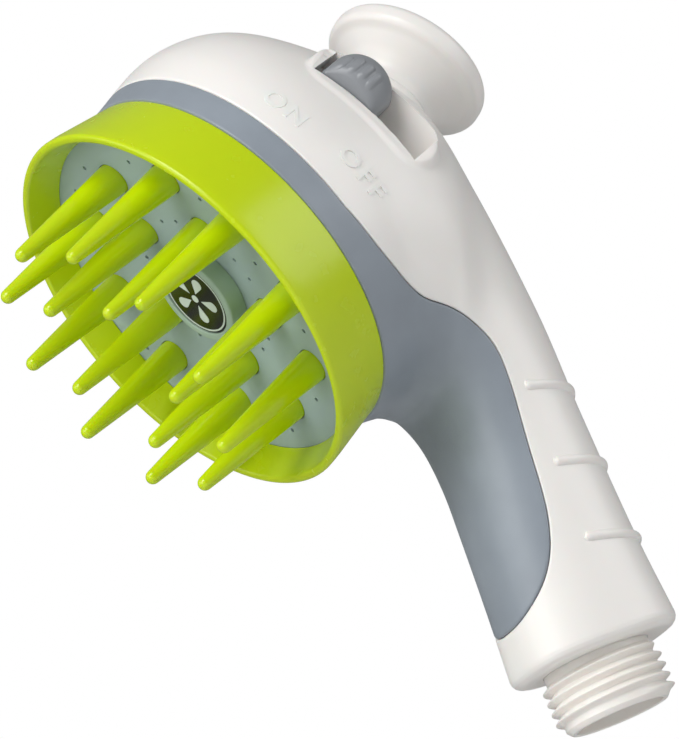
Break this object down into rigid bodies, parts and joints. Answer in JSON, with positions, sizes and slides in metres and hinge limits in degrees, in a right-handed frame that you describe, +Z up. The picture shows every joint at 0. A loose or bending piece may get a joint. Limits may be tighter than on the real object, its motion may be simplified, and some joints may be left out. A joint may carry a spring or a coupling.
{
  "type": "handheld bath sprayer",
  "caption": "Handheld pet bath sprayer with a round brush head of soft massage fingers, an on/off slide switch, a hanger knob and a threaded hose inlet in the handle.",
  "frame": {"origin": "centre of the hose inlet's end face, on the axis of the inlet and the handle", "axes": "+Z up the inlet and the handle to the head, -Y the spray side, +X the side with the slide switch"},
  "size_m": [0.0712, 0.0929, 0.1324],
  "materials": {
    "white_plastic": "satin moulded",
    "grey_grip": "fine satin, soft touch",
    "green_ring": "gloss moulded",
    "green_fingers": "soft gloss elastomer",
    "plate_grey": "satin moulded",
    "hub_grey": "satin moulded",
    "badge_black": "printed gloss",
    "switch_grey": "satin moulded",
    "inner_plastic": "natural moulded",
    "inlet_plastic": "satin moulded",
    "seal_rubber": "matte",
    "tube_rubber": "matte",
    "steel": "plated"
  },
  "bodies": {
    "housing": {"rear_shell": "white_plastic", "front_shell": "grey_grip", "brush_ring": "green_ring", "finger_pad": "green_fingers", "spray_plate": "plate_grey", "hub_cap": "hub_grey", "badge_disc": "badge_black", "plate_screw": "steel", "plate_gasket": "seal_rubber", "water_chamber": "inner_plastic", "chamber_screws": "steel", "port_o_ring": "seal_rubber", "valve_body": "inner_plastic", "valve_screws": "steel", "valve_end_cap": "inner_plastic", "rod_seal": "seal_rubber", "inlet_fitting": "inlet_plastic", "water_tube": "tube_rubber", "inlet_clamp": "steel", "valve_clamp": "steel", "hanger_knob": "white_plastic", "knob_screw": "steel", "knob_washer": "steel"},
    "switch": {"switch_button": "switch_grey", "switch_arm": "inner_plastic", "rod_clip": "steel", "valve_spool": "inner_plastic", "spool_o_rings": "seal_rubber"}
  },
  "joints": [
    {"name": "switch_slide", "type": "slide", "parent": "housing", "child": "switch", "axis": [0, 0.3987, -0.9171], "range_m": [0, 0.0085]}
  ]
}
